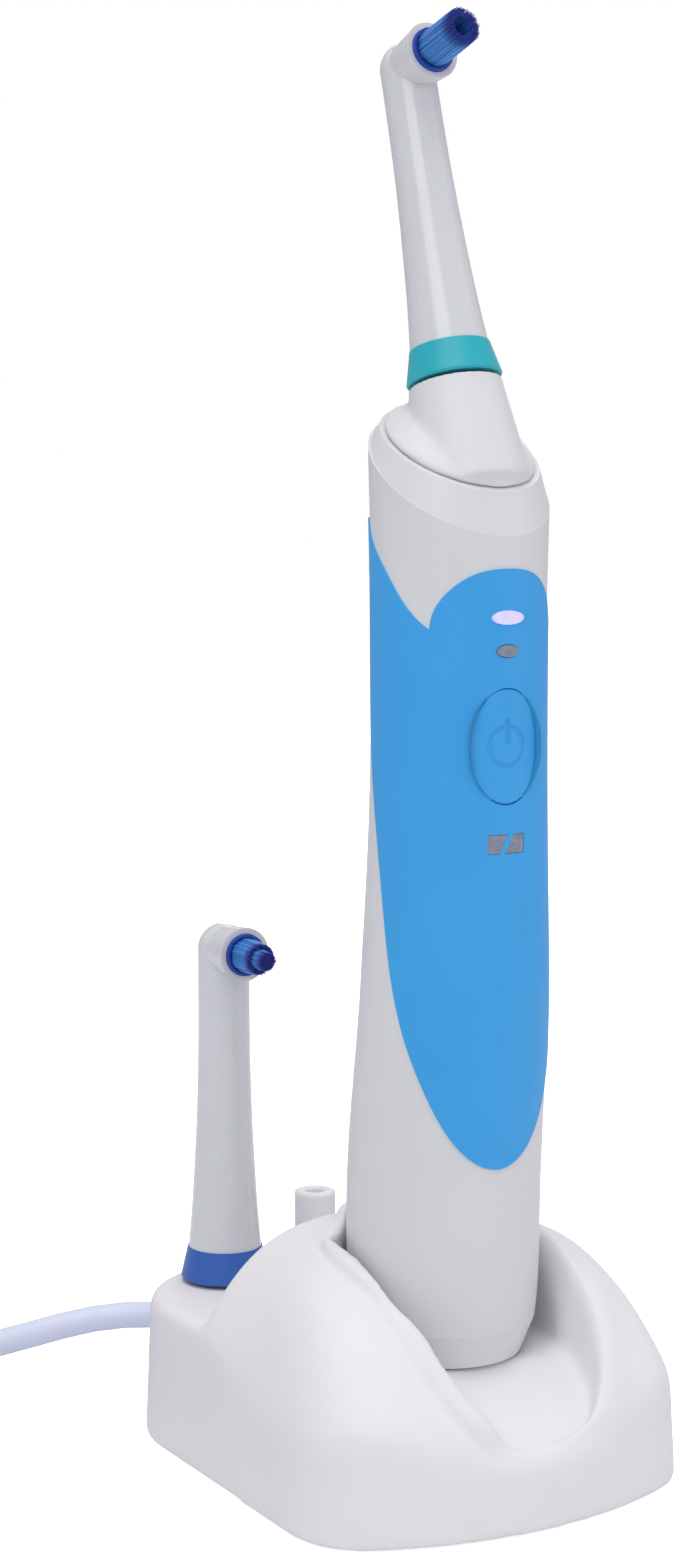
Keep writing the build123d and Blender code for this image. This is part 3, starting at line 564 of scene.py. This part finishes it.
def from_opening(p):
    """How far points are in plan from the edge of the well and scoop."""
    well = np.hypot(p[:, 0], p[:, 1] - HANDLE_Y) - WELL_R
    scoop_r = SCOOP_R + math.tan(math.radians(SCOOP_FLARE)) * np.maximum(0, p[:, 2] - SCOOP_FLOOR_Z)
    scoop = np.hypot(p[:, 0], p[:, 1] - SCOOP_Y) - scoop_r
    return np.minimum(well, scoop)


def scoop_turn(p):
    """The direction of points from the scoop's middle: 0 to the right and -90 to the front."""
    return np.degrees(np.arctan2(p[:, 1] - SCOOP_Y, p[:, 0]))


def true_scoop(p):
    """The scoop's right side moved out and its left side in, to the true shape of its mouth."""
    turn = scoop_turn(p)
    edge = from_opening(p)
    near = np.where(edge > 0, ease(1 - edge / 13), ease(1 + edge / 9))
    right = ease((turn + 95) / 50) * ease((62 - turn) / 50)
    left = np.where(turn < 0, ease((-105 - turn) / 35), ease((turn - 155) / 25))
    inside = ease((p[:, 1] - STAND_FRONT_Y) / 5)
    amount = (SCOOP_OUT * right + SCOOP_IN * left) * near * inside * ease((p[:, 2] - 6) / 6)
    return p + amount[:, None] * SCOOP_SHIFT


def stand_edges(p):
    """Every edge, but hardly the pegs' and the spigot's."""
    peg = (p[:, 2] > PEGS_FROM_Z) & (p[:, 1] > PEGS_FROM_Y)
    spigot = (np.hypot(p[:, 0], p[:, 1] - HANDLE_Y) < 9) & (p[:, 2] > 22)
    return np.where(peg | spigot, 0.12, 1.0)


def stand_rim(p):
    """The edge of the well and scoop, and where it runs into the back rest."""
    rest_end = np.hypot(np.abs(p[:, 0]) - REST_END[0], p[:, 1] - REST_END[1])
    opening = ease((6 - abs(from_opening(p))) / 4) * ease((HANDLE_Y + 12 - p[:, 1]) / 8)
    return np.maximum(opening, ease((9 - rest_end) / 4)) * ease((p[:, 2] - 9) / 4)


def stand_shoulder(p):
    """The roll of the hump down to the front and the sides."""
    return ease((from_opening(p) - 4) / 5) * ease((p[:, 2] - 6) / 6) * ease((10 - p[:, 1]) / 24)


def stand_bead(p, upward):
    """The low raised rim on the opening's left, with a faint groove outside it."""
    edge = from_opening(p)
    turn = scoop_turn(p)
    left = np.where(turn < 0, ease((-72 - turn) / 45), ease(-p[:, 0] / 6))
    rim = ease((edge + 0.6) / 1.2) * ease((RIM_WIDTH - edge) / 1.1)
    groove = ease(1 - np.abs(edge - GROOVE_AT) / 1.2)
    behind = ease((HANDLE_Y + 14 - p[:, 1]) / 6)
    fade = left * behind * ease((upward - 0.2) / 0.3) * ease((p[:, 2] - 15) / 6)
    return (RIM_RISE * rim - GROOVE_DEPTH * groove) * fade


def below_post(p):
    """The nose cone without the post that carries a head."""
    tilt = math.radians(NECK_TILT)
    along = (p - np.array(NECK_POINT)) @ np.array([0, math.sin(tilt), math.cos(tilt)])
    return ease((-along - 1.2) / 1.5)


softened("stand_housing", "stand_moulding", "white_shell", "stand", STAND_VOXEL,
         passes=[(10, stand_edges), (12, stand_rim), (80, stand_shoulder)],
         rise=stand_bead, last=[(8, stand_rim)], warp=true_scoop)
softened("nose_cone", "nose_moulding", "white_body", "handle", NOSE_VOXEL, passes=[(24, below_post)])

# ---------------------------------------------------------------- power button
BUTTON_Z = 140.2
BUTTON_HALF = (7.5, 10.4)
BUTTON_EDGE = 0.045               # the share of the button that falls away at its edge
BUTTON_EDGE_DROP = 0.5
BUTTON_RINGS, BUTTON_AROUND = 62, 180
ICON_LINE = 0.42                  # half the width of its line
ICON_SOFT = 0.22
ICON_DEEP = 0.32
ICON_RING_R = 3.5
ICON_GAP = 1.15                   # half the gap at its top
ICON_BAR = (2.6, 1.9)             # the bar's middle and half its length


def icon_depth(x, z):
    """How deep the engraved on-off sign is at a point of the button."""
    away = abs(math.hypot(x, z) - ICON_RING_R)
    if z > 0 and abs(x) < ICON_GAP:
        away = math.hypot(abs(x) - ICON_GAP, z - math.sqrt(ICON_RING_R ** 2 - ICON_GAP ** 2))
    bar = math.hypot(x, max(0.0, abs(z - ICON_BAR[0]) - ICON_BAR[1]))
    near = min(away, bar) - ICON_LINE
    return ICON_DEEP * (1 - ease(near / ICON_SOFT + 0.5))


def make_button():
    """The CAD button's face, with the sign engraved and its edge rounded off."""
    source = NODES["power_button"].data
    tree = BVHTree.FromPolygons([v.co for v in source.vertices], [p.vertices for p in source.polygons])
    low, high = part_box("power_button")

    def front(x, z):
        for shrink in (1.0, 0.999, 0.995, 0.985, 0.97):
            start = Vector((x * shrink * MM, low.y - 0.01, BUTTON_Z * MM + z * shrink * MM))
            hit = tree.ray_cast(start, Vector((0, 1, 0)))
            if hit[0] is not None:
                return hit[0].y
        return low.y

    bm = bmesh.new()
    grid = []
    for i in range(1, BUTTON_RINGS + 1):
        share = i / BUTTON_RINGS
        drop = BUTTON_EDGE_DROP * MM * ease((share - 1 + BUTTON_EDGE) / BUTTON_EDGE)
        ring = []
        for k in range(BUTTON_AROUND):
            a = 2 * math.pi * k / BUTTON_AROUND
            x, z = BUTTON_HALF[0] * share * math.cos(a), BUTTON_HALF[1] * share * math.sin(a)
            y = front(x, z) + icon_depth(x, z) * MM + drop
            ring.append(bm.verts.new((x * MM, y, (BUTTON_Z + z) * MM)))
        grid.append(ring)
    hub = bm.verts.new((0, front(0, 0) + icon_depth(0, 0) * MM, BUTTON_Z * MM))
    for k in range(BUTTON_AROUND):
        bm.faces.new((hub, grid[0][k], grid[0][(k + 1) % BUTTON_AROUND]))
    back = [bm.verts.new((v.co.x, high.y, v.co.z)) for v in grid[-1]]
    rings = grid + [back]
    for a_ring, b_ring in zip(rings, rings[1:]):
        bridge(bm, a_ring, b_ring)
    bm.faces.new(back)
    bmesh.ops.recalc_face_normals(bm, faces=bm.faces)
    mesh = mesh_of(bm, "power_button_cap")
    return finished(mesh, "power_button_cap", "grip_blue", "button", "power_button")


make_button()

# ---------------------------------------------------------------- finishes of the CAD nodes
for name, obj in NODES.items():
    obj.data.materials.clear()
    obj.data.materials.append(MATERIALS[SLOT_OF[name]])

bpy.context.view_layer.update()
